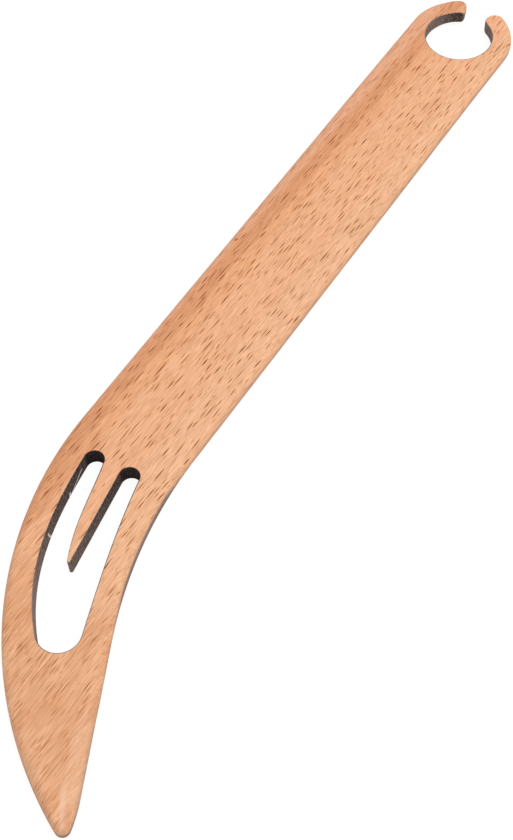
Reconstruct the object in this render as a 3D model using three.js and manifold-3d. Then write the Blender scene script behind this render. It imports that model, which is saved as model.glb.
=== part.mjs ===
// Weaving shuttle, sawn as one piece from a flat beech board.
//
// A straight handle ends in a round head with an open notch, which holds the yarn. The other end
// bends into a curved blade with a point. Two slots with round ends run down the blade, on either
// side of a thin tongue, and open into one eye. The yarn goes round the tongue and through the eye.
//
// Sizes are in millimetres. The outline is drawn in plan with the handle's middle line at x = 0 and
// the notch's centre at y = 0: +Y runs up the handle to the open notch, +X is the side that the point
// bends to, and +Z is up through the board's thickness. The finished shuttle is then moved so that
// the origin is on the ground below the middle of its length and breadth.

import * as THREE from 'three';
import { mergeVertices } from 'three/addons/utils/BufferGeometryUtils.js';
import Module from 'manifold-3d';

const degrees = THREE.MathUtils.degToRad;

// The board
const width = 30; // across the straight handle
const thickness = 5;
const headThickness = 3.9; // the head is thinned from below
const taperLength = 34; // over which the underside rises to the thin head
const taperGap = 2; // from the top of that slope to the notch
const edgeRoundWidth = 2.3; // how far the rounded outer edge reaches in over each face
const edgeRoundHeight = 2.4; // and how far it reaches down from each face
const tipRoundWidth = 1.3; // it reaches in less at the blade's tip
const tipRoundGrowth = 0.15; // and this much more per millimetre away from there

// The bend and the blade
const handleLength = 164; // from the notch's centre to where the outer side starts to bend
const outerBendRadius = 96;
const innerBendLead = 4.6; // the inner side starts to bend this much nearer to the head
const innerBendRadius = 117;
const innerBendAngle = degrees(25.4); // the inner side then runs straight towards the point
const noseRadius = 29; // of the arc on which the inner side turns in to the tip
const noseTurn = degrees(13);
const tipRadius = 1.9;

// The head and its notch
const headLead = 0.4; // the head's round end starts this far above the notch's centre
const headOffset = 0.35; // of the head from the handle's middle line, to the +X side
const neckDrop = 40; // from the notch's centre down to where the sides start to lean over to the head
const notchRadius = 9.65;
const notchOffset = 0.3; // of the notch from the handle's middle line, to the +X side
const squareArmAngle = degrees(18.5); // from +Y round to the square end of the left arm
const roundArmAngle = degrees(29); // from +Y round to the centre of the right arm's round end
const armInnerCorner = 1.2; // the square end's corner radius beside the notch
const armOuterCorner = 2; // and on the head's rim

// The slots, the tongue and the eye in the blade
const slotRim = 7.45; // wood left between the left slot and the outer edge
const leftSlotRadius = 2.45;
const leftSlotDrop = 9.6; // from the start of the outer bend down to the slot's centre
const rightSlotRadius = 2.5;
const rightSlotDrop = 9;
const tongueWidth = 5.1; // between the two slots, at their centres
const tongueLength = 25.8;
const tongueTipRadius = 0.5;
const eyeRadius = 5.35; // of the eye's round lower end
const eyeDrop = 50.5; // from the start of the outer bend down to that end's centre
const eyeRim = 7.95; // wood left between that end and the outer edge

// The lean of each wall of the slots and the eye, from straight down the handle towards +X
const outerWallLean = { top: degrees(8), bottom: degrees(46) };
const innerWallLean = { top: degrees(13), bottom: degrees(20) };
const tongueLeftLean = { top: degrees(17), bottom: degrees(28) };
const tongueRightLean = degrees(9.5);
const curveReach = 0.36; // how far each end's lean carries into a curved wall, as a share of its length

const arcSteps = 12; // half the number of steps in each round stretch
const edgeSteps = 5; // steps in each quarter of the rounded outer edge
const cutterMargin = 1; // how far a cutting tool passes beyond what it cuts
const joinTolerance = 0.001; // closer points than this are one point

const headRadius = width / 2;
const headCentre = new THREE.Vector2(headOffset, headLead);
const notchCentre = new THREE.Vector2(notchOffset, 0);
const outerBend = new THREE.Vector2(outerBendRadius - width / 2, -handleLength);
const innerBend = new THREE.Vector2(innerBendRadius + width / 2, innerBendLead - handleLength);

// A wall that leans runs down along `along`, and `across` points square to it, towards +X.
const along = (lean) => new THREE.Vector2(Math.sin(lean), -Math.cos(lean));
const across = (lean) => new THREE.Vector2(Math.cos(lean), Math.sin(lean));
const move = (point, direction, distance) => point.clone().addScaledVector(direction, distance);
const polar = (radius, angle) => new THREE.Vector2(Math.cos(angle), Math.sin(angle)).multiplyScalar(radius);

const angleFrom = (centre, point) => Math.atan2(point.y - centre.y, point.x - centre.x);

// The point ahead of the start, in a direction, that lies on a circle.
function ahead(start, direction, centre, radius) {
  const offset = start.clone().sub(centre);
  const half = offset.dot(direction);
  return move(start, direction, Math.sqrt(half * half - offset.lengthSq() + radius * radius) - half);
}

// The blade's round tip touches the nose's arc and the outer bend's circle, both from inside. Where
// the nose starts on the straight inner edge follows from that.
const noseLean = innerBendAngle - noseTurn;
const noseStart = move(innerBend, across(innerBendAngle), -innerBendRadius - noseRadius);
const tipStart = move(noseStart, across(noseLean), noseRadius - tipRadius);
const tip = ahead(tipStart, along(innerBendAngle), outerBend, outerBendRadius - tipRadius);
const nose = move(tip, across(noseLean), tipRadius - noseRadius);

// The outline of the board before the notch and the eye are cut.
function blankShape() {
  const tipAngle = angleFrom(outerBend, tip);
  const shape = new THREE.Shape();
  shape.moveTo(-width / 2, -handleLength);
  shape.lineTo(-width / 2, -neckDrop);
  shape.lineTo(headCentre.x - headRadius, headCentre.y);
  shape.absarc(headCentre.x, headCentre.y, headRadius, Math.PI, 0, true);
  shape.lineTo(width / 2, -neckDrop);
  shape.lineTo(width / 2, innerBend.y);
  shape.absarc(innerBend.x, innerBend.y, innerBendRadius, Math.PI, Math.PI + innerBendAngle, false);
  shape.absarc(nose.x, nose.y, noseRadius, innerBendAngle, noseLean, true);
  shape.absarc(tip.x, tip.y, tipRadius, noseLean, tipAngle, true);
  shape.absarc(outerBend.x, outerBend.y, outerBendRadius, tipAngle, -Math.PI, true);
  return shape;
}

// The notch: a round hole that opens through the top of the head. The left arm ends square across
// its width with small round corners. The right arm ends in a round that touches the notch's circle
// and, from inside, the head's.
function notchShape() {
  const squareEnd = Math.PI / 2 + squareArmAngle;
  const outwards = polar(1, squareEnd);
  const intoArm = polar(1, squareEnd + Math.PI / 2);
  const innerStart = move(notchCentre, intoArm, armInnerCorner);
  const outerStart = move(notchCentre, intoArm, armOuterCorner);
  const innerCorner = ahead(innerStart, outwards, notchCentre, notchRadius + armInnerCorner);
  const outerCorner = ahead(outerStart, outwards, headCentre, headRadius - armOuterCorner);
  const innerTurn = angleFrom(notchCentre, innerCorner);
  const outerTurn = angleFrom(headCentre, outerCorner);
  const faceTurn = squareEnd - Math.PI / 2;

  const roundEnd = Math.PI / 2 - roundArmAngle;
  const spoke = polar(1, roundEnd);
  const edge = move(notchCentre, spoke, notchRadius).sub(headCentre);
  const armRadius = (headRadius ** 2 - edge.lengthSq()) / (2 * (headRadius + edge.dot(spoke)));
  const armCentre = move(notchCentre, spoke, notchRadius + armRadius);
  const armTurn = angleFrom(headCentre, armCentre);

  const outside = headRadius + cutterMargin;
  const leftExit = polar(outside, outerTurn).add(headCentre);
  const rightExit = polar(outside, armTurn).add(headCentre);
  const top = outside + cutterMargin;
  const shape = new THREE.Shape();
  shape.moveTo(rightExit.x, rightExit.y);
  shape.lineTo(rightExit.x, top);
  shape.lineTo(leftExit.x, top);
  shape.lineTo(leftExit.x, leftExit.y);
  shape.absarc(outerCorner.x, outerCorner.y, armOuterCorner, outerTurn, faceTurn, true);
  shape.absarc(innerCorner.x, innerCorner.y, armInnerCorner, faceTurn, innerTurn - Math.PI, true);
  shape.absarc(notchCentre.x, notchCentre.y, notchRadius, innerTurn, roundEnd + 2 * Math.PI, false);
  shape.absarc(armCentre.x, armCentre.y, armRadius, roundEnd + Math.PI, armTurn, true);
  return shape;
}

// A cubic curve from one point to another, which leaves and arrives along the two leans.
function leaningCurve(shape, from, fromDirection, to, toDirection) {
  const handle = curveReach * from.distanceTo(to);
  const first = move(from, fromDirection, handle);
  const second = move(to, toDirection, -handle);
  shape.bezierCurveTo(first.x, first.y, second.x, second.y, to.x, to.y);
}

// The two slots, the tongue between them and the eye are one opening. Its round ends are discs,
// and each wall runs from one disc to the next.
function eyeShape() {
  const onBend = (rim, drop) => new THREE.Vector2(
    outerBend.x - Math.sqrt((outerBendRadius - rim) ** 2 - drop ** 2),
    outerBend.y - drop,
  );
  const left = onBend(slotRim + leftSlotRadius, leftSlotDrop);
  const right = new THREE.Vector2(
    left.x + leftSlotRadius + tongueWidth + rightSlotRadius,
    outerBend.y - rightSlotDrop,
  );
  const eye = onBend(eyeRim + eyeRadius, eyeDrop);
  const tongueEdge = move(right, across(tongueRightLean), -rightSlotRadius - tongueTipRadius);
  const tongueTip = move(tongueEdge, along(tongueRightLean), tongueLength);

  const leftStart = move(left, across(outerWallLean.top), -leftSlotRadius);
  const leftEnd = move(left, across(tongueLeftLean.top), leftSlotRadius);
  const tongueStart = move(tongueTip, across(tongueLeftLean.bottom), -tongueTipRadius);
  const rightEnd = move(right, across(innerWallLean.top), rightSlotRadius);
  const eyeStart = move(eye, across(innerWallLean.bottom), eyeRadius);
  const eyeEnd = move(eye, across(outerWallLean.bottom), -eyeRadius);

  const shape = new THREE.Shape();
  shape.moveTo(leftStart.x, leftStart.y);
  shape.absarc(left.x, left.y, leftSlotRadius, outerWallLean.top + Math.PI, tongueLeftLean.top, true);
  leaningCurve(shape, leftEnd, along(tongueLeftLean.top), tongueStart, along(tongueLeftLean.bottom));
  const tongueTurn = tongueLeftLean.bottom - Math.PI;
  shape.absarc(tongueTip.x, tongueTip.y, tongueTipRadius, tongueTurn, tongueRightLean, false);
  shape.absarc(right.x, right.y, rightSlotRadius, tongueRightLean + Math.PI, innerWallLean.top, true);
  leaningCurve(shape, rightEnd, along(innerWallLean.top), eyeStart, along(innerWallLean.bottom));
  shape.absarc(eye.x, eye.y, eyeRadius, innerWallLean.bottom, outerWallLean.bottom - Math.PI, true);
  const up = (lean) => along(lean).negate();
  leaningCurve(shape, eyeEnd, up(outerWallLean.bottom), leftStart, up(outerWallLean.top));
  return shape;
}

// The side view of the wood that is planed off under the head: a slope and then a level stretch.
function taperShape() {
  const slopeEnd = -notchRadius - taperGap;
  const slopeStart = slopeEnd - taperLength;
  const rise = thickness - headThickness;
  const end = headRadius + cutterMargin;
  const shape = new THREE.Shape();
  shape.moveTo(slopeStart, 0);
  shape.lineTo(slopeStart, -cutterMargin);
  shape.lineTo(end, -cutterMargin);
  shape.lineTo(end, rise);
  shape.lineTo(slopeEnd, rise);
  return shape;
}

// The shape's points, without the doubled ones where one stretch meets the next.
function outline(shape) {
  const points = shape.getPoints(arcSteps);
  return points.filter((point, i) => point.distanceTo(points.at(i - 1)) > joinTolerance);
}

const wasm = await Module();
wasm.setup();

// A closed geometry as a solid that can be cut.
function solid(geometry) {
  geometry.deleteAttribute('normal');
  geometry.deleteAttribute('uv');
  const merged = mergeVertices(geometry);
  return new wasm.Manifold(new wasm.Mesh({
    numProp: 3,
    vertProperties: new Float32Array(merged.attributes.position.array),
    triVerts: new Uint32Array(merged.index.array),
  }));
}

// A solid as a geometry that can be shown.
function geometryOf(body) {
  const { vertProperties, triVerts } = body.getMesh();
  const geometry = new THREE.BufferGeometry();
  geometry.setAttribute('position', new THREE.BufferAttribute(vertProperties, 3));
  geometry.setIndex(new THREE.BufferAttribute(triVerts, 1));
  geometry.computeVertexNormals();
  return geometry;
}

// The board with its outer edge rounded over from both faces. It is a stack of rings, each of them
// the outline moved in by its share of the rounding, with the two faces filled in.
function blank() {
  const points = outline(blankShape()).reverse();
  const count = points.length;
  const moveIn = (share) => points.map((point, i) => {
    const way = points[(i + 1) % count].clone().sub(points.at(i - 1)).normalize();
    const fromTip = point.distanceTo(tip) - tipRadius;
    const roundWidth = Math.min(edgeRoundWidth, tipRoundWidth + tipRoundGrowth * fromTip);
    return move(point, new THREE.Vector2(-way.y, way.x), share * roundWidth);
  });

  const lower = Array.from({ length: edgeSteps + 1 }, (_, step) => {
    const angle = (step / edgeSteps) * (Math.PI / 2);
    return { share: 1 - Math.sin(angle), height: edgeRoundHeight * (1 - Math.cos(angle)) };
  });
  const upper = lower.map(({ share, height }) => ({ share, height: thickness - height })).reverse();
  const levels = [...lower, ...upper];
  const rings = levels.flatMap(({ share, height }) => (
    moveIn(share).flatMap((point) => [point.x, point.y, height])
  ));

  const triangles = [];
  for (let a = 0; a < count * (levels.length - 1); a += 1) {
    const b = (a + 1) % count === 0 ? a + 1 - count : a + 1;
    triangles.push(a, b, b + count, a, b + count, a + count);
  }
  const top = count * (levels.length - 1);
  for (const [a, b, c] of THREE.ShapeUtils.triangulateShape(moveIn(1), [])) {
    triangles.push(c, b, a, top + a, top + b, top + c);
  }
  const geometry = new THREE.BufferGeometry();
  geometry.setAttribute('position', new THREE.Float32BufferAttribute(rings, 3));
  geometry.setIndex(triangles);
  return solid(geometry);
}

// A cut straight down through the board.
function throughCut(shape) {
  const depth = thickness + 2 * cutterMargin;
  const plan = new THREE.Shape(outline(shape));
  const geometry = new THREE.ExtrudeGeometry(plan, { depth, bevelEnabled: false });
  return solid(geometry.translate(0, 0, -cutterMargin));
}

// The cut under the head, from one side of the board to the other.
function headTaper() {
  const depth = width + 2 * cutterMargin;
  const geometry = new THREE.ExtrudeGeometry(taperShape(), { depth, bevelEnabled: false });
  const sideways = new THREE.Matrix4().makeBasis(
    new THREE.Vector3(0, 1, 0),
    new THREE.Vector3(0, 0, 1),
    new THREE.Vector3(1, 0, 0),
  );
  return solid(geometry.translate(0, 0, -depth / 2).applyMatrix4(sideways));
}

const body = blank()
  .subtract(headTaper())
  .subtract(throughCut(notchShape()))
  .subtract(throughCut(eyeShape()));

const geometry = geometryOf(body);
geometry.computeBoundingBox();
const { min, max } = geometry.boundingBox;
geometry.translate(-(min.x + max.x) / 2, -(min.y + max.y) / 2, -min.z);

const beech = new THREE.MeshStandardMaterial({ color: 0xdca27a, roughness: 0.6, metalness: 0 });

const board = new THREE.Mesh(geometry, beech);
board.name = 'shuttle_board';

const shuttle = new THREE.Group();
shuttle.add(board);

export default shuttle;
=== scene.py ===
# %% [markdown]
# # A wooden weaving shuttle
#
# A hand weaver winds yarn between the open notch in this shuttle's round head and the thin tongue
# in its bent blade, and passes the shuttle through the warp point first. It is one piece of beech,
# sawn from a flat board. The outline and the holes are cut by a beam that chars their walls, and then
# the outer edge and the faces are sanded. The walls of the notch, the slots and the eye stay dark.
#
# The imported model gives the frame: its box says where the board lies. Sizes below are in millimetres
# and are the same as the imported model's.

# %% Load the frame
import math
from collections import namedtuple

import bpy
import numpy as np
from mathutils import Euler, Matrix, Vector
from mathutils.geometry import delaunay_2d_cdt


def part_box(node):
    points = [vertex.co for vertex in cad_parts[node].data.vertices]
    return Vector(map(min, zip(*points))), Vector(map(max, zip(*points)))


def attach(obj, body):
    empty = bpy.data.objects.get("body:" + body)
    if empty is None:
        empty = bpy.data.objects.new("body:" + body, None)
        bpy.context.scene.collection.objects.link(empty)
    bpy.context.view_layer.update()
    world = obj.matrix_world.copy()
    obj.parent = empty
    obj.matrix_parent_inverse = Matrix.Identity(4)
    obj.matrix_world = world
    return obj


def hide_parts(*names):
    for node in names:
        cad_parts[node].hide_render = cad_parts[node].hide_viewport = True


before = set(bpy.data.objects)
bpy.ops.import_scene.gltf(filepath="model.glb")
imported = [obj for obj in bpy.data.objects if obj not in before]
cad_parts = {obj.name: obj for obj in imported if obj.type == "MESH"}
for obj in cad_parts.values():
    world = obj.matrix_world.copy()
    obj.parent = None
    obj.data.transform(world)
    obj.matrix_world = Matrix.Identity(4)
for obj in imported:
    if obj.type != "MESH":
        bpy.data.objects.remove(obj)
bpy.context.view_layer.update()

MM = 0.001
BOARD_NODE = "shuttle_board"
low, high = (np.array(corner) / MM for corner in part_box(BOARD_NODE))
print("board from", low.round(2), "to", high.round(2), "mm")

# %% [markdown]
# ## Stretches of the outline
#
# A maker marks such a shuttle out with a ruler and a compass. The outline could be traced point by
# point, but straight lines, arcs and two-ended curves say what was drawn, and they give the exact
# direction out of the wood at each point, which the rounded edge needs. Every stretch runs with the
# wood on its left. Its rows are x, y and the direction out of the wood.


# %% Lines, arcs and curves
SPACING = 0.6
ARC_STEP = math.radians(7)


def steps(length, turn=0.0):
    """Enough points that neighbours are at most SPACING apart and turn by at most ARC_STEP."""
    return 2 + int(max(length / SPACING, turn / ARC_STEP))


def rightwards(direction):
    """Unit directions to the right of the given ones: (x, y) turns into (y, -x)."""
    unit = direction / np.linalg.norm(direction, axis=-1, keepdims=True)
    return np.column_stack([unit[:, 1], -unit[:, 0]])


def line(start, end):
    """start + t (end - start), as t runs from 0 to 1."""
    start, end = np.array(start, float), np.array(end, float)
    share = np.linspace(0, 1, steps(np.linalg.norm(end - start)))[:, None]
    points = start + share * (end - start)
    return np.hstack([points, rightwards(np.broadcast_to(end - start, points.shape))])


def arc(centre, radius, start, end):
    """centre + radius (cos a, sin a), as the angle a runs from start to end.

    Out of the wood is away from the centre where a grows, and towards it where a shrinks.
    """
    turn = np.linspace(start, end, steps(abs(end - start) * radius, abs(end - start)))
    spoke = np.column_stack([np.cos(turn), np.sin(turn)])
    return np.hstack([np.array(centre) + radius * spoke, np.sign(end - start) * spoke])


def curve(start, start_way, end, end_way, reach):
    """The cubic curve that leaves start along start_way and arrives at end along end_way.

    Its handles are reach times the straight distance: (1-t)^3 p0 + 3t(1-t)^2 p1 + 3t^2(1-t) p2 + t^3 p3.
    """
    handle = reach * np.linalg.norm(end - start)
    first, second = start + handle * start_way, end - handle * end_way
    t = np.linspace(0, 1, steps(np.linalg.norm(end - start)))[:, None]
    points = (1 - t) ** 3 * start + 3 * t * (1 - t) ** 2 * first
    points = points + 3 * t**2 * (1 - t) * second + t**3 * end
    slope = (1 - t) ** 2 * (first - start) + 2 * t * (1 - t) * (second - first) + t**2 * (end - second)
    return np.hstack([points, rightwards(slope)])


print("points at most", SPACING, "mm and", round(math.degrees(ARC_STEP), 1), "degrees apart")

# %% [markdown]
# ## How each edge is worked
#
# The outer edge is a full round from face to face. The cut walls stand square, with their sharp
# corners just broken by sandpaper. Both are the same profile with other sizes: how far the rounding
# reaches in over the face, how far it goes down the wall, how dark the wall is from 0 to 1, and how
# much the rounding is a flat facet instead, from 0 to 1. On a cut wall that darkness is char. On the
# outer round it is a little leftover char with painted shade on the lower part of the round. So each
# stretch of the outline carries these numbers for its two ends, and they blend along it. That lets a
# round edge turn into a crisp one round an arm's end.
#
# In the hollow of the inner bend the lower part of the round gets stronger painted shade, reaching
# further up the round.

# %% Edge finishes
WIDTH = 30.0
THICKNESS = 5.0
BROKEN = 0.2
SAME_POINT = 0.001

Edge = namedtuple("Edge", "inset depth burn facet")
# On the outer rounds the third number darkens the lower part of the round with a little leftover char and
# painted shade. In the inner bend's hollow that painted shade is stronger.
SANDED = Edge(inset=2.3, depth=2.35, burn=0.16, facet=0)
SHADED_HOLLOW = Edge(inset=2.2, depth=2.3, burn=0.45, facet=0)
HEAD = Edge(inset=1.5, depth=1.9, burn=0.18, facet=0)
THUMB = Edge(inset=0.8, depth=1.1, burn=0.2, facet=0)
EASED = Edge(inset=0.85, depth=1.3, burn=0.3, facet=0)
LIPPED = Edge(inset=0.6, depth=0.7, burn=0.8, facet=0)
NARROW = Edge(inset=2.6, depth=2.35, burn=0.2, facet=0.2)
FACET = Edge(inset=3.7, depth=2.35, burn=0.2, facet=0.6)
POINT = Edge(inset=1.3, depth=2.2, burn=0.27, facet=0.15)


def cut_wall(burn):
    """A square wall, burnt by this much, with corners that are only just broken."""
    return Edge(inset=BROKEN, depth=BROKEN, burn=burn, facet=0)


print("a full round is", SANDED.inset, "mm wide and", SANDED.depth, "mm deep, a broken corner", BROKEN)


# %% Stretches with their finish
def smooth(share):
    """3 s^2 - 2 s^3, level at both ends."""
    return share * share * (3 - 2 * share)


def worked(stretch, first, last=None):
    """The stretch with its edge finish beside it, blended from first to last along its length."""
    last = first if last is None else last
    run = np.append(0, np.cumsum(np.linalg.norm(np.diff(stretch[:, :2], axis=0), axis=1)))
    share = smooth(run / run[-1])[:, None]
    return np.hstack([stretch, (1 - share) * np.array(first) + share * np.array(last)])


def closed(stretches):
    """The stretches one after the other, without the doubled points where they meet."""
    path = np.vstack(stretches)
    gap = np.linalg.norm(path[:, :2] - np.roll(path[:, :2], 1, axis=0), axis=1)
    return path[gap > SAME_POINT]


quarter = worked(arc((0, 0), WIDTH, 0, math.pi / 2), SANDED, cut_wall(1))
print("a quarter of a circle of", WIDTH, "mm is", len(quarter), "rows of", quarter.shape[1], "numbers")


# %% Directions and touching points
def along(lean):
    """The way down a wall that leans by this angle from straight down, towards +x."""
    return np.array([math.sin(lean), -math.cos(lean)])


def across(lean):
    """Square to along, towards +x."""
    return np.array([math.cos(lean), math.sin(lean)])


def ahead(start, way, centre, radius):
    """The point start + t way, with t > 0, that lies on the circle: |start + t way - centre| = radius."""
    offset = start - centre
    half = offset @ way
    return start + way * (math.sqrt(half**2 - offset @ offset + radius**2) - half)


def angle_from(centre, point):
    """The angle at which the point lies round the centre."""
    return math.atan2(point[1] - centre[1], point[0] - centre[0])


print("a wall that leans by 8 degrees runs down along", along(math.radians(8)).round(3))

# %% [markdown]
# ## The outline with its notch
#
# The handle is 30 mm wide. Below it, the outer side bends on a 96 mm arc. The inner side bends on a
# 117 mm arc, runs out straight and turns in to the point on a short nose arc. The tip is a small arc
# that touches the nose and the outer bend. At the other end the round head closes round the notch,
# and its two arms end differently: the left one is cut square across and the right one is a thumb
# end. The head lies a little to the right of the handle's middle line, so above the neck both sides
# lean over to it. The middle line is x = 0, and the notch's centre is at x = 0.3, y = 0.

# %% Handle, bend, nose and tip
HANDLE_LENGTH = 164.0
OUTER_BEND_RADIUS = 96.0
INNER_BEND_LEAD = 4.6
INNER_BEND_RADIUS = 117.0
INNER_BEND_ANGLE = math.radians(25.4)
NOSE_RADIUS = 29.0
NOSE_TURN = math.radians(13)
TIP_RADIUS = 1.9
HEAD_LEAD = 0.4
HEAD_OFFSET = 0.35
NECK = -40.0

HALF = WIDTH / 2
head = np.array([HEAD_OFFSET, HEAD_LEAD])
outer_bend = np.array([OUTER_BEND_RADIUS - HALF, -HANDLE_LENGTH])
inner_bend = np.array([INNER_BEND_RADIUS + HALF, INNER_BEND_LEAD - HANDLE_LENGTH])
inner_end = inner_bend - INNER_BEND_RADIUS * across(INNER_BEND_ANGLE)

# The nose and the tip slide down together beside the straight edge until the tip touches the bend.
nose_lean = INNER_BEND_ANGLE - NOSE_TURN
nose_to_tip = (NOSE_RADIUS - TIP_RADIUS) * across(nose_lean)
tip_start = inner_end - NOSE_RADIUS * across(INNER_BEND_ANGLE) + nose_to_tip
tip = ahead(tip_start, along(INNER_BEND_ANGLE), outer_bend, OUTER_BEND_RADIUS - TIP_RADIUS)
nose = tip - nose_to_tip
nose_start = nose + NOSE_RADIUS * across(INNER_BEND_ANGLE)
full_turn = 2 * math.pi
tip_turn = angle_from(outer_bend, tip) + full_turn
print("tip at", tip.round(2), "nose starts at", nose_start.round(2))

# %% Stretches of the handle and the blade
FACET_START = 14.0
FACET_FULL = 24.0
POINT_LENGTH = 12.0
NARROWING = 0.2
HOLLOW_TURNS = math.pi + np.append(INNER_BEND_ANGLE, np.radians([18, 7, 2, 0]))


def down_edge(distance):
    """The point this far from the end of the inner bend, down the straight inner edge."""
    return inner_end + distance * along(INNER_BEND_ANGLE)


point_turn = tip_turn - POINT_LENGTH / OUTER_BEND_RADIUS
blade = [
    worked(line(head - (HALF, 0), (-HALF, NECK)), HEAD, SANDED),
    worked(line((-HALF, NECK), (-HALF, -HANDLE_LENGTH)), SANDED),
    worked(arc(outer_bend, OUTER_BEND_RADIUS, math.pi, point_turn - NARROWING), SANDED),
    worked(arc(outer_bend, OUTER_BEND_RADIUS, point_turn - NARROWING, point_turn), SANDED, NARROW),
    worked(arc(outer_bend, OUTER_BEND_RADIUS, point_turn, tip_turn), NARROW, POINT),
    worked(arc(tip, TIP_RADIUS, tip_turn, nose_lean + full_turn), POINT),
    worked(arc(nose, NOSE_RADIUS, nose_lean, INNER_BEND_ANGLE), POINT, FACET),
    worked(line(nose_start, down_edge(FACET_FULL)), FACET),
    worked(line(down_edge(FACET_FULL), down_edge(FACET_START)), FACET, SANDED),
    worked(line(down_edge(FACET_START), inner_end), SANDED),
]
finishes = (SANDED, SHADED_HOLLOW, SHADED_HOLLOW, SANDED, SANDED)
for turns, ends in zip(zip(HOLLOW_TURNS, HOLLOW_TURNS[1:]), zip(finishes, finishes[1:])):
    blade.append(worked(arc(inner_bend, INNER_BEND_RADIUS, *turns), *ends))
print("blade of", len(blade), "stretches")

# %% Head, arms and notch
NOTCH_RADIUS = 9.65
NOTCH_OFFSET = 0.3
SQUARE_ARM_ANGLE = math.radians(18.5)
ROUND_ARM_ANGLE = math.radians(29)
INNER_CORNER = 1.2
OUTER_CORNER = 2.0
THUMB_SPAN = math.radians(100)
LEFT_ARM_SPAN = 0.4

notch = np.array([NOTCH_OFFSET, 0])

# The right arm's end touches the notch's circle at this edge point and, from inside, the head's.
round_end = math.pi / 2 - ROUND_ARM_ANGLE
arm_way = across(round_end)
edge = notch + NOTCH_RADIUS * arm_way - head
arm_radius = (HALF**2 - edge @ edge) / (2 * (HALF + edge @ arm_way))
arm_end = notch + (NOTCH_RADIUS + arm_radius) * arm_way
arm_turn = angle_from(head, arm_end)
thumb_turn = arm_turn + THUMB_SPAN

# The left arm's end face runs out from the notch's centre. Each of its corners is a small arc.
square_end = math.pi / 2 + SQUARE_ARM_ANGLE
into_arm = across(square_end + math.pi / 2)
inner_start, outer_start = notch + INNER_CORNER * into_arm, notch + OUTER_CORNER * into_arm
inner_corner = ahead(inner_start, across(square_end), notch, NOTCH_RADIUS + INNER_CORNER)
outer_corner = ahead(outer_start, across(square_end), head, HALF - OUTER_CORNER)
inner_turn = angle_from(notch, inner_corner)
outer_turn = angle_from(head, outer_corner)
face_turn = square_end - math.pi / 2
foot = -math.pi / 2
left_side = -math.radians(190)

arms = [
    worked(line((HALF, inner_bend[1]), (HALF, NECK)), SANDED),
    worked(line((HALF, NECK), head + (HALF, 0)), SANDED, HEAD),
    worked(arc(head, HALF, 0, arm_turn), HEAD, THUMB),
    worked(arc(arm_end, arm_radius, arm_turn, thumb_turn), THUMB),
    worked(arc(arm_end, arm_radius, thumb_turn, round_end + math.pi), THUMB, cut_wall(0.45)),
    worked(arc(notch, NOTCH_RADIUS, round_end, foot), cut_wall(0.45), cut_wall(0.7)),
    worked(arc(notch, NOTCH_RADIUS, foot, left_side), cut_wall(0.7), cut_wall(0.45)),
    worked(arc(notch, NOTCH_RADIUS, left_side, inner_turn - full_turn), cut_wall(0.45), LIPPED),
    worked(arc(inner_corner, INNER_CORNER, inner_turn - math.pi, face_turn), LIPPED, EASED),
    worked(line(inner_corner - INNER_CORNER * into_arm, outer_corner - OUTER_CORNER * into_arm), EASED),
    worked(arc(outer_corner, OUTER_CORNER, face_turn, outer_turn), EASED),
    worked(arc(head, HALF, outer_turn, outer_turn + LEFT_ARM_SPAN), EASED, HEAD),
    worked(arc(head, HALF, outer_turn + LEFT_ARM_SPAN, math.pi), HEAD),
]
outline = closed(blade + arms)
print("outline of", len(outline), "points,", outline[:, :2].min(axis=0).round(2), "lowest")

# %% [markdown]
# ## The eye, the slots and the tongue
#
# They are one opening. Its two slots have round tops, where the beam dwelt and charred the wood most.
# The walls get lighter from there down. The tongue between the slots narrows to a thin end, and below
# it the opening is wide and has a round foot. The curved walls lean more the further down they are,
# because they follow the bend. Each lean below is a wall's, at its top and at its foot.

# %% Slots, tongue and eye
SLOT_RIM = 7.45
LEFT_SLOT_RADIUS = 2.45
LEFT_SLOT_DROP = 9.6
RIGHT_SLOT_RADIUS = 2.5
RIGHT_SLOT_DROP = 9.0
TONGUE_WIDTH = 5.1
TONGUE_LENGTH = 25.8
TONGUE_TIP_RADIUS = 0.5
EYE_RADIUS = 5.35
EYE_DROP = 50.5
EYE_RIM = 7.95
OUTER_WALL_LEAN = (math.radians(8), math.radians(46))
INNER_WALL_LEAN = (math.radians(13), math.radians(20))
TONGUE_LEFT_LEAN = (math.radians(17), math.radians(28))
TONGUE_RIGHT_LEAN = math.radians(9.5)
CURVE_REACH = 0.36


def on_bend(rim, drop):
    """The point rim inside the outer bend's edge and drop below where the bend starts."""
    return outer_bend - np.array([math.sqrt((OUTER_BEND_RADIUS - rim) ** 2 - drop**2), drop])


left_slot = on_bend(SLOT_RIM + LEFT_SLOT_RADIUS, LEFT_SLOT_DROP)
slot_spacing = LEFT_SLOT_RADIUS + TONGUE_WIDTH + RIGHT_SLOT_RADIUS
right_slot = np.array([left_slot[0] + slot_spacing, outer_bend[1] - RIGHT_SLOT_DROP])
eye = on_bend(EYE_RIM + EYE_RADIUS, EYE_DROP)
tongue_edge = right_slot - (RIGHT_SLOT_RADIUS + TONGUE_TIP_RADIUS) * across(TONGUE_RIGHT_LEAN)
tongue_tip = tongue_edge + TONGUE_LENGTH * along(TONGUE_RIGHT_LEAN)
print("slots at", left_slot.round(2), right_slot.round(2), "eye at", eye.round(2))

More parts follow.
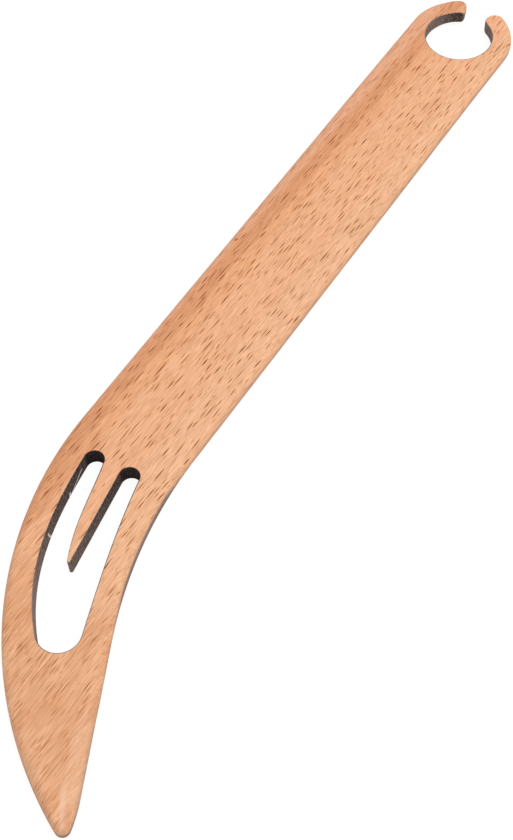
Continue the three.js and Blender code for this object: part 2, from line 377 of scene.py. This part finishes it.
# %% The opening's walls
opening = closed(
    [
        worked(
            arc(left_slot, LEFT_SLOT_RADIUS, OUTER_WALL_LEAN[0] + math.pi, TONGUE_LEFT_LEAN[0]),
            cut_wall(0.95),
        ),
        worked(
            curve(
                left_slot + LEFT_SLOT_RADIUS * across(TONGUE_LEFT_LEAN[0]),
                along(TONGUE_LEFT_LEAN[0]),
                tongue_tip - TONGUE_TIP_RADIUS * across(TONGUE_LEFT_LEAN[1]),
                along(TONGUE_LEFT_LEAN[1]),
                CURVE_REACH,
            ),
            cut_wall(0.95),
            cut_wall(0.2),
        ),
        worked(
            arc(tongue_tip, TONGUE_TIP_RADIUS, TONGUE_LEFT_LEAN[1] - math.pi, TONGUE_RIGHT_LEAN),
            cut_wall(0.2),
            cut_wall(0.55),
        ),
        worked(
            line(
                tongue_tip + TONGUE_TIP_RADIUS * across(TONGUE_RIGHT_LEAN),
                right_slot - RIGHT_SLOT_RADIUS * across(TONGUE_RIGHT_LEAN),
            ),
            cut_wall(0.55),
            cut_wall(0.75),
        ),
        worked(
            arc(right_slot, RIGHT_SLOT_RADIUS, TONGUE_RIGHT_LEAN + math.pi, INNER_WALL_LEAN[0]),
            cut_wall(0.92),
        ),
        worked(
            curve(
                right_slot + RIGHT_SLOT_RADIUS * across(INNER_WALL_LEAN[0]),
                along(INNER_WALL_LEAN[0]),
                eye + EYE_RADIUS * across(INNER_WALL_LEAN[1]),
                along(INNER_WALL_LEAN[1]),
                CURVE_REACH,
            ),
            cut_wall(0.9),
            cut_wall(0.4),
        ),
        worked(arc(eye, EYE_RADIUS, INNER_WALL_LEAN[1], OUTER_WALL_LEAN[1] - math.pi), cut_wall(0.45)),
        worked(
            curve(
                eye - EYE_RADIUS * across(OUTER_WALL_LEAN[1]),
                -along(OUTER_WALL_LEAN[1]),
                left_slot - LEFT_SLOT_RADIUS * across(OUTER_WALL_LEAN[0]),
                -along(OUTER_WALL_LEAN[0]),
                CURVE_REACH,
            ),
            cut_wall(0.4),
            cut_wall(0.78),
        ),
    ]
)
print("opening of", len(opening), "points")

# %% [markdown]
# ## The board's surface
#
# The rim could be a Bevel modifier on a flat plate, but its width couldn't change along the edge, and
# it would know nothing of char. So a profile is carried along each outline: over the upper corner,
# down the wall and round the lower corner. The two faces are then filled between the rims with a
# triangulation that keeps to the outlines. The head is thinned from below, so the underside's height
# is a function of how far up the handle a point is.

# %% Underside
HEAD_THICKNESS = 3.9
TAPER_LENGTH = 34.0
TAPER_GAP = 2.0

slope_end = -NOTCH_RADIUS - TAPER_GAP
slope_start = slope_end - TAPER_LENGTH


def underside(y):
    """Height of the lower face: level, then a straight rise with softened ends, then level."""
    share = np.clip((y - slope_start) / (slope_end - slope_start), 0, 1)
    return (THICKNESS - HEAD_THICKNESS) * (0.7 * share + 0.3 * smooth(share))


print("underside rises to", underside(0).round(2), "mm from", round(slope_start, 2), "to", slope_end)

# %% Rim
CORNER_ROWS = 8
WALL_ROWS = 3
LEAST_WALL = 0.3
GUARD = 0.1
GUARD_BASE = 0.5
SANDED_DEPTH = 0.85
LEAST_SANDED = 0.05
MOST_SANDED = 0.55
CHAR_FADE = 0.4


def rim(path):
    """The rim's points as a grid: one row per step of the profile, one column per point of the path.

    A corner's point at angle a, from the wall (0) to the face (90 degrees), is inset by
    A (1 - cos a) and lies B (1 - sin a) from the face. A facet's is inset by A t and lies B (1 - t)
    from it, with t = a / 90 degrees. The two are mixed by the path's share of facet. One more row on
    each face, just inside the rounding, keeps the shading of the face flat.

    Sanding takes the char off a rounding from the face down, less far where the wall is more burnt.
    On the outer round, the darkening left below that is a little char with painted shade.
    A corner that is only just broken keeps its char.
    """
    x, y, out_x, out_y, inset, depth, burn, facet = path.T
    bottom = underside(y)
    depth = np.minimum(depth, (THICKNESS - bottom - LEAST_WALL) / 2)
    angle = np.linspace(np.pi / 2, 0, CORNER_ROWS)[:, None]
    share = angle / (np.pi / 2)
    reach_in = inset * ((1 - facet) * (1 - np.cos(angle)) + facet * share)
    from_face = depth * ((1 - facet) * (1 - np.sin(angle)) + facet * (1 - share))
    wall = np.linspace(0, 1, WALL_ROWS + 2)[1:-1, None]
    guard = inset + GUARD * (inset + GUARD_BASE)
    insets = np.vstack([guard, reach_in, 0 * wall * inset, reach_in[::-1], guard])
    px, py = x - insets * out_x, y - insets * out_y
    under = underside(py)
    rows = CORNER_ROWS + 1
    top = np.vstack([0 * inset, from_face])
    z = np.empty_like(px)
    z[:rows] = THICKNESS - top
    z[-rows:] = under[-rows:] + top[::-1]
    upper, lower = z[rows - 1], z[-rows]
    z[rows:-rows] = upper + wall * (lower - upper)
    sanded_to = np.clip(SANDED_DEPTH - burn, LEAST_SANDED, MOST_SANDED)
    sanded_off = 1 - np.clip((from_face / depth - sanded_to) / CHAR_FADE, 0, 1)
    corner_char_and_shade = burn * (1 - np.clip((inset - BROKEN) / BROKEN, 0, 1) * sanded_off)
    char_and_shade_rows = np.vstack([0 * burn, corner_char_and_shade, 0 * wall + burn, corner_char_and_shade[::-1], 0 * burn])
    facets = np.broadcast_to(facet, char_and_shade_rows.shape).copy()
    facets[[0, -1]] = 0
    return np.stack([px, py, z], axis=-1), char_and_shade_rows, facets


outer_rim, outer_char_and_shade, outer_facet = rim(outline)
eye_rim, eye_burn, eye_facet = rim(opening)
print("rims of", outer_rim.shape[:2], "and", eye_rim.shape[:2], "points")

# %% Filling the faces
GRID = 3.0
CLOSEST = 1e-7


def inside(points, loop):
    """True where a point is in the loop: a ray from it to +x crosses it an odd number of times."""
    x0, y0 = loop.T
    x1, y1 = np.roll(loop, -1, axis=0).T
    px, py = points[:, :1], points[:, 1:]
    spans = (y0 > py) != (y1 > py)
    crossing = x0 + (py - y0) * (x1 - x0) / np.where(y1 == y0, 1, y1 - y0)
    return (spans & (px < crossing)).sum(axis=1) % 2 == 1


def clear_of(points, loop, distance):
    """True where a point is further than this from each point of the loop."""
    apart = np.linalg.norm(points[:, None] - loop[None], axis=2)
    return apart.min(axis=1) > distance


def ring_edges(count, first):
    """Edges round a closed ring of points, numbered from first."""
    one = np.arange(count)
    return np.column_stack([one, np.roll(one, -1)]) + first


outer_ring, eye_ring = outer_rim[0, :, :2], eye_rim[0, :, :2]
across_x = np.arange(outer_ring[:, 0].min(), outer_ring[:, 0].max(), GRID)
along_y = np.arange(outer_ring[:, 1].min(), outer_ring[:, 1].max(), GRID)
grid = np.stack(np.meshgrid(across_x, along_y), axis=-1).reshape(-1, 2)
grid = grid[inside(grid, outer_ring) & ~inside(grid, eye_ring)]
grid = grid[clear_of(grid, outer_ring, GRID / 3) & clear_of(grid, eye_ring, GRID / 3)]
flat = np.vstack([outer_ring, eye_ring, grid])
edges = np.vstack([ring_edges(len(outer_ring), 0), ring_edges(len(eye_ring), len(outer_ring))])
flat_points = [Vector(point) for point in flat]
corners, _, faces, origins, _, _ = delaunay_2d_cdt(flat_points, edges.tolist(), [], 0, CLOSEST)
if not all(origins):
    lost = [tuple(corner) for corner, origin in zip(corners, origins) if not origin]
    raise SystemExit(f"the rims cross near {lost}")
fill = np.array([origins[index][0] for face in faces for index in face]).reshape(-1, 3)
middle = flat[fill].mean(axis=1)
fill = fill[inside(middle, outer_ring) & ~inside(middle, eye_ring)]
area = np.cross(flat[fill[:, 1]] - flat[fill[:, 0]], flat[fill[:, 2]] - flat[fill[:, 0]])
fill = np.where(area[:, None] > 0, fill, fill[:, ::-1])
print("each face filled with", len(fill), "triangles")


# %% Points and faces
def strip_faces(rows, columns, first):
    """Quads between neighbouring rows of a closed grid whose points are numbered from first."""
    row, column = np.meshgrid(np.arange(rows - 1), np.arange(columns), indexing="ij")
    right = (column + 1) % columns
    quads = np.stack(
        [
            row * columns + column,
            (row + 1) * columns + column,
            (row + 1) * columns + right,
            row * columns + right,
        ],
        axis=-1,
    )
    return quads.reshape(-1, 4) + first


rim_rows = outer_rim.shape[0]
round_board, round_eye = len(outline), len(opening)
eye_at = rim_rows * round_board
grid_at = eye_at + rim_rows * round_eye
last_row = rim_rows - 1
top_grid = np.column_stack([grid, np.full(len(grid), THICKNESS)])
bottom_grid = np.column_stack([grid, underside(grid[:, 1])])
points = np.vstack([outer_rim.reshape(-1, 3), eye_rim.reshape(-1, 3), top_grid, bottom_grid])
on_faces = np.zeros(2 * len(grid))
looks = {
    "burn": np.concatenate([outer_char_and_shade.ravel(), eye_burn.ravel(), on_faces]),
    "rubbed": np.concatenate([outer_facet.ravel(), eye_facet.ravel(), on_faces]),
}

top_index = np.concatenate(
    [
        np.arange(round_board),
        eye_at + np.arange(round_eye),
        grid_at + np.arange(len(grid)),
    ]
)
bottom_index = np.concatenate(
    [
        last_row * round_board + np.arange(round_board),
        eye_at + last_row * round_eye + np.arange(round_eye),
        grid_at + len(grid) + np.arange(len(grid)),
    ]
)
quads = np.vstack([strip_faces(rim_rows, round_board, 0), strip_faces(rim_rows, round_eye, eye_at)])
triangles = np.vstack([top_index[fill], bottom_index[fill[:, ::-1]]])
print(len(points), "points,", len(quads), "quads on the rims and", len(triangles), "triangles")

# %% The board as one mesh
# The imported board's left edge and its point fix where the outline's zero lies.
zero = np.array([low[0] + HALF, low[1] - outline[:, 1].min(), low[2]])
mesh = bpy.data.meshes.new("beech_board")
mesh.from_pydata((points + zero) * MM, [], quads.tolist() + triangles.tolist())
mesh.polygons.foreach_set("use_smooth", np.ones(len(mesh.polygons), bool))
for name, values in looks.items():
    mesh.attributes.new(name, "FLOAT", "POINT").data.foreach_set("value", values)
mesh.validate()
mesh.update()
board = bpy.data.objects.new("beech_board", mesh)
bpy.context.scene.collection.objects.link(board)
print("board of", len(mesh.vertices), "points and", len(mesh.polygons), "faces; zero at", zero.round(3))

# %% [markdown]
# ## Wiring a material
#
# A material is a graph of nodes. Wiring it by hand hides the sums that make a pattern, so one small
# class wraps a socket and lets Python's own operators add the Math nodes.


# %% Sockets that do arithmetic
class Wire:
    """A socket's number, colour or vector. Arithmetic on it adds Math nodes."""

    def __init__(self, bench, socket):
        self.bench = bench
        self.socket = socket

    def maths(self, operation, *values):
        return self.bench.add("ShaderNodeMath", {"operation": operation}, dict(enumerate(values)))

    def __add__(self, other):
        return self.maths("ADD", self, other)

    def __sub__(self, other):
        return self.maths("SUBTRACT", self, other)

    def __rsub__(self, other):
        return self.maths("SUBTRACT", other, self)

    def __mul__(self, other):
        return self.maths("MULTIPLY", self, other)

    def __abs__(self):
        return self.maths("ABSOLUTE", self)

    __radd__ = __add__
    __rmul__ = __mul__


# %% A bench to build materials on
class Bench:
    """The node tree of a material or a world, and the one method that adds to it."""

    def __init__(self, owner):
        owner.use_nodes = True
        self.owner = owner
        self.tree = owner.node_tree
        self.tree.nodes.clear()

    def add(self, kind, settings=None, values=None, out=0):
        """Adds a node: its settings first, then a value or a wire for each named or numbered socket."""
        node = self.tree.nodes.new(kind)
        for name, setting in (settings or {}).items():
            setattr(node, name, setting)
        for name, value in (values or {}).items():
            if isinstance(value, Wire):
                self.tree.links.new(value.socket, node.inputs[name])
            else:
                node.inputs[name].default_value = value
        return Wire(self, node.outputs[out]) if node.outputs else None

    def between(self, value, start, end):
        """0 up to start and 1 from end on, with a soft step between them. End may be the smaller."""
        settings = {"interpolation_type": "SMOOTHSTEP"}
        return self.add("ShaderNodeMapRange", settings, {0: value, 1: start, 2: end})

    def vector(self, operation, first, second=None, out=0):
        """Vector Math on one or two vectors or colours. Output 1 is its single number."""
        values = {0: first} if second is None else {0: first, 1: second}
        return self.add("ShaderNodeVectorMath", {"operation": operation}, values, out)

    def stretch(self, place, sizes, shift=(0, 0, 0)):
        """The place measured in units of these sizes, so that a pattern of size 1 gets them."""
        measured = self.vector("MULTIPLY", place, tuple(1 / size for size in sizes))
        return self.vector("ADD", measured, shift)

    def noise(self, place, sizes, shift=(0, 0, 0), detail=2.0):
        """A soft random pattern from 0 to 1 whose lumps have these sizes."""
        values = {"Vector": self.stretch(place, sizes, shift), "Scale": 1.0, "Detail": detail}
        return self.add("ShaderNodeTexNoise", {}, values)

    def mix(self, share, first, second):
        """The second colour laid over the first by this share."""
        return self.add("ShaderNodeMix", {"data_type": "RGBA"}, {0: share, 6: first, 7: second}, 2)


def paint(red, green, blue):
    """A colour from 0 to 255 per part, as a screen shows it, in the renderer's straight values."""
    parts = np.array([red, green, blue]) / 255
    straight = np.where(parts <= 0.04045, parts / 12.92, ((parts + 0.055) / 1.055) ** 2.4)
    return (*straight.tolist(), 1.0)


print("a screen's middle grey is", round(paint(128, 128, 128)[0], 3), "in straight values")

# %% [markdown]
# ## Beech
#
# Beech is known by its flecks: thin dark dashes, mostly one to three millimetres long, which are the
# ends of the wood's rays. They run straight along the grain, also through the bent blade, because the
# shuttle is sawn and not steamed. An image would show one board only. A pattern on the object's own
# coordinates has the grain's true size everywhere, on the walls too.
#
# The grain isn't quite in line with the handle: up the handle it drifts to the right. One redder band
# drifts with it, and to the left of the band the wood is pinker. The bend's outer side and the blade
# are redder too. The rest of the ground is a warm tan, a little paler along the right edge.

# %% Grain and ground of the beech
TAN = paint(235, 174, 131)
AMBER = paint(231, 166, 120)
RED = paint(217, 150, 105)
PINK = paint(227, 165, 127)
STRAW = paint(236, 180, 138)

beech = Bench(bpy.data.materials.new("oiled_beech"))
coords = beech.add("ShaderNodeTexCoord", {}, {}, 3)
here = beech.vector("SUBTRACT", beech.vector("MULTIPLY", coords, (1 / MM,) * 3), tuple(zero))
x = beech.add("ShaderNodeSeparateXYZ", {}, {0: here}, 0)
y = beech.add("ShaderNodeSeparateXYZ", {}, {0: here}, 1)
z = beech.add("ShaderNodeSeparateXYZ", {}, {0: here}, 2)
burn = beech.add("ShaderNodeAttribute", {"attribute_name": "burn"}, {}, 2)
rubbed = beech.add("ShaderNodeAttribute", {"attribute_name": "rubbed"}, {}, 2)

TILT = 0.027
drift = y * -TILT + (beech.noise(here, (14, 30, 30), (3, 1, 0), 1.0) - 0.5) * 1.2
grain = beech.vector("ADD", here, beech.add("ShaderNodeCombineXYZ", {}, {"X": drift}))
grain_x = x + drift

streaks = beech.noise(grain, (1.3, 60, 6), (11, 5, 2), 3.0)
cloud = beech.noise(grain, (5, 14, 6), (7, 3, 8), 2.0)

red_band = beech.between(grain_x, -5.1, -6.1) * beech.between(grain_x, -10.8, -8.6)
bend_patch = beech.between(y, -160, -176) * beech.between(y, -222, -204)
bend_patch = bend_patch * beech.between(grain_x, 1.0, -3.0)
in_blade = beech.between(y, -196, -214)
redness = red_band + bend_patch * 0.7 + in_blade * 0.42
redness = redness + (cloud - 0.5) * (in_blade * 0.75 + 0.35)
ground = beech.mix(beech.between(grain_x, -0.5, -3.0), TAN, AMBER)
ground = beech.mix(beech.between(grain_x, 9.0, 11.5) * 0.8, ground, STRAW)
ground = beech.mix(beech.between(grain_x, -8.6, -10.2), ground, PINK)
ground = beech.mix(beech.between(redness, 0.0, 1.0), ground, RED)
print("ground of", len(beech.tree.nodes), "nodes")

# %% [markdown]
# Two things lie over the ground. The finest one is the grain itself: fibres a few tenths of a
# millimetre wide, which are lighter and darker in turn, threads and streaks that are wider and longer,
# and a few wavy growth lines. A dark fibre is also a warmer one, so the tone changes blue the most.
#
# The other is the flecks. Each of them is one cell of a Voronoi pattern that is stretched along the
# grain, with its own random length and strength: a dark core in a warm stain. Three sizes of cell
# together give the wood's mix of long and short ones, and a fourth gives the blade its long lines.
# They are fainter on the outer walls, on the rubbed facet and along the handle's left side.

# %% Fibres and growth lines
fibres = beech.noise(grain, (0.14, 3.0, 0.4), (2, 9, 4), 0.0)
threads = beech.noise(grain, (0.4, 9.0, 1.0), (8, 1, 3), 1.0)
growth = beech.noise(grain, (4.0, 50, 6), (4, 6, 1), 1.0)
growth_line = beech.between(abs(growth - 0.52), 0.012, 0.0)
calm = beech.between(grain_x, -9.0, -11.0) * (1 - in_blade)
tone = (fibres - 0.5) * (0.64 - in_blade * 0.06) + (threads - 0.5) * (in_blade * 0.2 + 0.2)
tone = tone + (streaks - 0.5) * (in_blade * 0.3 + 0.1) - growth_line * 0.08
tint = beech.add("ShaderNodeCombineXYZ", {}, {0: 1 + tone * 0.9, 1: 1 + tone * 1.15, 2: 1 + tone * 1.5})
ground = beech.vector("MULTIPLY", ground, tint)
print("with its fibres", len(beech.tree.nodes), "nodes")

# %% Flecks
FLECK = paint(132, 52, 0)
STAIN = (1.1, 0.98, 0.72)


def flecks(sizes, shift, least, most):
    """The dark cores and the warm stains of dashes, one for each stretched cell.

    A core reaches from the cell's middle to a random distance from least to most, measured in cells,
    and its stain a little further. Where that distance is below 0 there is no core, and where it is
    below the stain's reach the cell stays empty.
    """
    settings = {"voronoi_dimensions": "2D", "distance": "MINKOWSKI"}
    values = {"Vector": beech.stretch(grain, sizes, shift), "Scale": 1.0}
    values.update({"Exponent": 1.4, "Randomness": 0.8})
    near = beech.add("ShaderNodeTexVoronoi", settings, values)
    lot = beech.add("ShaderNodeTexVoronoi", settings, values, 1)
    reach = beech.add("ShaderNodeSeparateColor", {}, {0: lot}, 0) * (most - least) + least
    strength = beech.add("ShaderNodeSeparateColor", {}, {0: lot}, 1)
    past = near - reach
    core, stain = beech.between(past, 0.01, -0.04), beech.between(past, 0.12, -0.02)
    return core * (strength * 0.4 + 0.6), stain * (strength * 0.5 + 0.5)


def strongest(first, second):
    """The larger of two numbers at each point."""
    return beech.add("ShaderNodeMath", {"operation": "MAXIMUM"}, {0: first, 1: second})


long_flecks = flecks((0.8, 13, 1), (0.3, 0.7, 0), -0.14, 0.22)
short_flecks = flecks((0.8, 8.5, 1), (5.3, 2.7, 0), -0.1, 0.23)
specks = flecks((0.62, 5.5, 1), (1.9, 4.1, 0), -0.12, 0.18)
lines = flecks((0.65, 26, 1), (2.2, 6.3, 0), -0.16, 0.17)
side = beech.between(abs(z - THICKNESS / 2), 1.8, 1.2)


def all_flecks(part):
    """The core (0) or the stain (1) of the flecks of every size, each size with its own share."""
    mixed = strongest(long_flecks[part], short_flecks[part]) * (1 - in_blade * 0.35)
    mixed = strongest(strongest(mixed, specks[part] * 0.6), lines[part] * in_blade * 0.6)
    return mixed * (1 - rubbed * 0.5) * (1 - side * 0.8) * (1 - calm * 0.4)


flecked = all_flecks(0)
stained = beech.vector("MULTIPLY", ground, STAIN)
wood = beech.mix(flecked, beech.mix(all_flecks(1), ground, stained), FLECK)
print("with its flecks", len(beech.tree.nodes), "nodes")

# %% [markdown]
# ## Marks of this board
#
# A few marks are this board's own: a small knot mark at the left edge and a redder smudge further down
# the handle. Sanding has left the facet near the nose paler. Down the point runs a pale ridge, partly
# wear and partly a painted highlight along the ridge's rounding, with a pinker stretch beside it. The
# mesh says where the facet is. The others are too slight to be shaped, so each is a soft oval of colour.

# %% Knot, smudge, facet and point
POINT_TURN = math.radians(35)


def spot(middle, sizes, edge=0.3, turn=0.0):
    """1 in the middle of a soft oval of these half sizes, turned on the board, and 0 outside it."""
    values = {"Vector": here, "Location": middle, "Rotation": (0, 0, turn), "Scale": sizes}
    away = beech.add("ShaderNodeMapping", {"vector_type": "TEXTURE"}, values)
    return beech.between(beech.vector("LENGTH", away, out=1), 1.0, edge)


knot = spot((-12.94, -98.05, 5.0), (0.55, 1.0, 3.0), 0.2, math.radians(-28))
smudge = spot((-4.2, -132.0, 5.0), (1.6, 9.0, 3.0), 0.0)
wood = beech.mix(knot * 0.8, wood, paint(146, 60, 0))
wood = beech.mix(smudge * 0.35, wood, RED)
wood = beech.mix(rubbed * 0.5, wood, paint(236, 188, 150))
# The pale ridge is partly wear and partly a painted highlight.
ridge = spot((41.1, -247.5, 5.0), (1.2, 8.0, 4.0), 0.0, POINT_TURN)
blush = spot((42.5, -247.6, 5.0), (1.3, 4.0, 4.0), 0.0, POINT_TURN)
wood = beech.mix(ridge * 0.55, wood, paint(248, 206, 172))
wood = beech.mix(blush * 0.6, wood, paint(216, 148, 118))
print("with this board's marks", len(beech.tree.nodes), "nodes")

# %% [markdown]
# ## Burnt walls
#
# The beam leaves soot where it dwelt and only browns the wood where it moved on. The mesh says how
# burnt each wall is, from 0 to 1. On the outer round the same number lays a little char with painted
# shade. That picks a colour from grey-brown to soot, with an upright streakiness, because the beam
# pulses. Full soot is smoother. The upper rim of a burnt wall is darker, and its less burnt parts
# carry painted glints, small grey highlights in the colour.

# %% Charred walls
SOOT = paint(36, 27, 25)
UMBER = paint(92, 72, 64)
ASH = paint(140, 116, 104)
GLINT = paint(150, 142, 140)
LIP = paint(46, 26, 18)

crust = beech.noise(here, (0.4, 0.4, 1.6), (1, 4, 2), 3.0)
pulses = beech.between(burn, 0.2, 0.6) * (1 - beech.between(burn, 0.7, 0.95) * 0.7)
uneven = burn + (crust - 0.5) * 0.9 * pulses
char_and_shade_colour = beech.mix(beech.between(uneven, 0.35, 0.75), ASH, UMBER)
char_and_shade_colour = beech.mix(beech.between(uneven, 0.7, 1.0), char_and_shade_colour, SOOT)
char_and_shade_colour = beech.mix(beech.between(z, 3.4, 4.9) * beech.between(burn, 0.4, 0.8) * 0.7, char_and_shade_colour, LIP)
# Painted glints: small grey highlights laid into the charred wall's colour.
glints = beech.between(beech.noise(here, (0.3, 0.5, 0.7), (5, 2, 7), 1.0), 0.5, 0.64)
char_and_shade_colour = beech.mix(glints * beech.between(uneven, 1.0, 0.7) * 0.45, char_and_shade_colour, GLINT)
print("with the burnt walls", len(beech.tree.nodes), "nodes")

# %% [markdown]
# ## Loose fibres
#
# Two pale fibres cling to the left slot's outer wall, a slanting one that ends in a lump at the wall's
# foot and a curled one further down. They lie so close to it that they are painted on it. Each is a
# line in the wall's own y and z: a point is on it where it lies close to the line's formula, and what
# is added beyond the line's ends stops it there. The slanting one is a straight line, z = z0 + rise
# (y - y0), and the curled one a parabola, y = y0 + bend (z - z0)^2.

# %% Slanting fibre, curl and lump
FIBRE = paint(240, 234, 220)
SLANT_START = (-176.5, 2.35)
SLANT_RISE = 0.42
CURL_START = (-195.1, 3.2)
CURL_BEND = 0.1

left_wall = beech.between(x, -1.2, -1.8)
slant = abs(z - SLANT_START[1] - (y - SLANT_START[0]) * SLANT_RISE)
slant = slant + beech.between(y, -176.2, -175.6) + beech.between(y, -181.6, -182.4)
below_curl = z - CURL_START[1]
curl = abs(y - CURL_START[0] - below_curl * below_curl * CURL_BEND) + beech.between(z, 3.2, 3.6)
lump = spot((-5.6, -182.75, 0.6), (1.5, 0.65, 1.4), 0.5)
fibre = strongest(strongest(beech.between(slant, 0.34, 0.2), beech.between(curl, 0.4, 0.22)), lump)
char_and_shade_colour = beech.mix(fibre * left_wall, char_and_shade_colour, FIBRE)
print("with the loose fibres", len(beech.tree.nodes), "nodes")

# %% The whole surface
# The burnt colour covers the cut walls as char. It also covers the lower part of the outer round as
# leftover char with painted shade.
covered = beech.between(burn, 0.0, 0.4)
colour = beech.mix(covered, wood, char_and_shade_colour)

roughness = 0.55 + covered * 0.25
relief = fibres * 0.4 - flecked * 0.6 + crust * covered * 1.5
normal = beech.add("ShaderNodeBump", {}, {"Strength": 0.35, "Distance": 0.00008, "Height": relief})
skin = {"Base Color": colour, "Roughness": roughness, "Normal": normal, "IOR": 1.45}
surface = beech.add("ShaderNodeBsdfPrincipled", {}, skin)
beech.add("ShaderNodeOutputMaterial", {}, {"Surface": surface})
mesh.materials.append(beech.owner)
print(beech.owner.name, "has", len(beech.tree.nodes), "nodes")

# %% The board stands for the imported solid
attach(board, "root")
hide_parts(BOARD_NODE)
print(board.name, "stands for", BOARD_NODE)

# %% [markdown]
# ## Floor, light and camera
#
# The photograph shows the shuttle on pure white. A floor bright enough for that would flood the wood
# with light from below. So the floor is pale grey paper, and to the camera alone most of its look is a
# white of its own. The rest still takes a faint shadow. The world is dimmed in the same way: the camera
# sees it white, and the wood gets less of it. A soft lamp on the right adds the rest of the light.

# %% Floor
FLOOR_SIZE = 3.0
FLOOR_SHARE = 0.17
FLOOR_GREY = (0.7, 0.7, 0.7, 1)
FLOOR_GLOW = 1.11
WHITE = (1, 1, 1, 1)

floor_mesh = bpy.data.meshes.new("floor")
square = np.array([(-1, -1, 0), (1, -1, 0), (1, 1, 0), (-1, 1, 0)]) * FLOOR_SIZE / 2
floor_mesh.from_pydata(square.tolist(), [], [(0, 1, 2, 3)])
floor = bpy.data.objects.new("floor", floor_mesh)
bpy.context.scene.collection.objects.link(floor)

paper = Bench(bpy.data.materials.new("white_paper"))
to_camera = paper.add("ShaderNodeLightPath", {}, {}, 0)
matt = paper.add("ShaderNodeBsdfDiffuse", {}, {"Color": FLOOR_GREY})
glow = paper.add("ShaderNodeEmission", {}, {"Color": WHITE, "Strength": FLOOR_GLOW})
sheet = paper.add("ShaderNodeMixShader", {}, {0: to_camera * (1 - FLOOR_SHARE), 1: matt, 2: glow})
paper.add("ShaderNodeOutputMaterial", {}, {"Surface": sheet})
floor_mesh.materials.append(paper.owner)
print("floor of", FLOOR_SIZE, "m")

# %% World and lamp
WORLD_LIGHT = 0.7
LAMP_POWER = 4.0
LAMP_SIZE = 0.7
LAMP_PLACE = (0.30, 0.25, 0.90)

room = Bench(bpy.data.worlds.new("studio"))
in_view = room.add("ShaderNodeLightPath", {}, {}, 0)
brightness = in_view * (1 - WORLD_LIGHT) + WORLD_LIGHT
sky = room.add("ShaderNodeBackground", {}, {"Color": WHITE, "Strength": brightness})
room.add("ShaderNodeOutputWorld", {}, {"Surface": sky})
bpy.context.scene.world = room.owner

lamp_data = bpy.data.lights.new("soft_lamp", "AREA")
lamp_data.energy = LAMP_POWER
lamp_data.size = LAMP_SIZE
lamp = bpy.data.objects.new("soft_lamp", lamp_data)
lamp.location = LAMP_PLACE
lamp.rotation_mode = "QUATERNION"
lamp.rotation_quaternion = lamp.location.to_track_quat("Z", "Y")
bpy.context.scene.collection.objects.link(lamp)
print("lamp of", LAMP_POWER, "W and a world of", WORLD_LIGHT)

# %% [markdown]
# The camera looks down on the shuttle from beyond its point. Its place, in millimetres from the
# outline's zero, its turn in degrees and its lens are those at which the notch, the handle's sides and
# the walls of the slots line up with the photograph.

# %% Camera
CAMERA_PLACE = (141.818, -311.129, 318.708)
CAMERA_TURN = (33.2305, 1.6842, 32.8163)
LENS = 65.758
SENSOR = 36.0
NEAREST = 0.01

camera_data = bpy.data.cameras.new("camera")
camera_data.sensor_width = SENSOR
camera_data.lens = LENS
camera_data.clip_start = NEAREST
camera = bpy.data.objects.new("camera", camera_data)
camera.location = (zero + CAMERA_PLACE) * MM
camera.rotation_euler = Euler([math.radians(a) for a in CAMERA_TURN], "XYZ")
bpy.context.scene.collection.objects.link(camera)
bpy.context.scene.camera = camera
bpy.context.scene.view_settings.view_transform = "Standard"
print("camera at", camera.location)
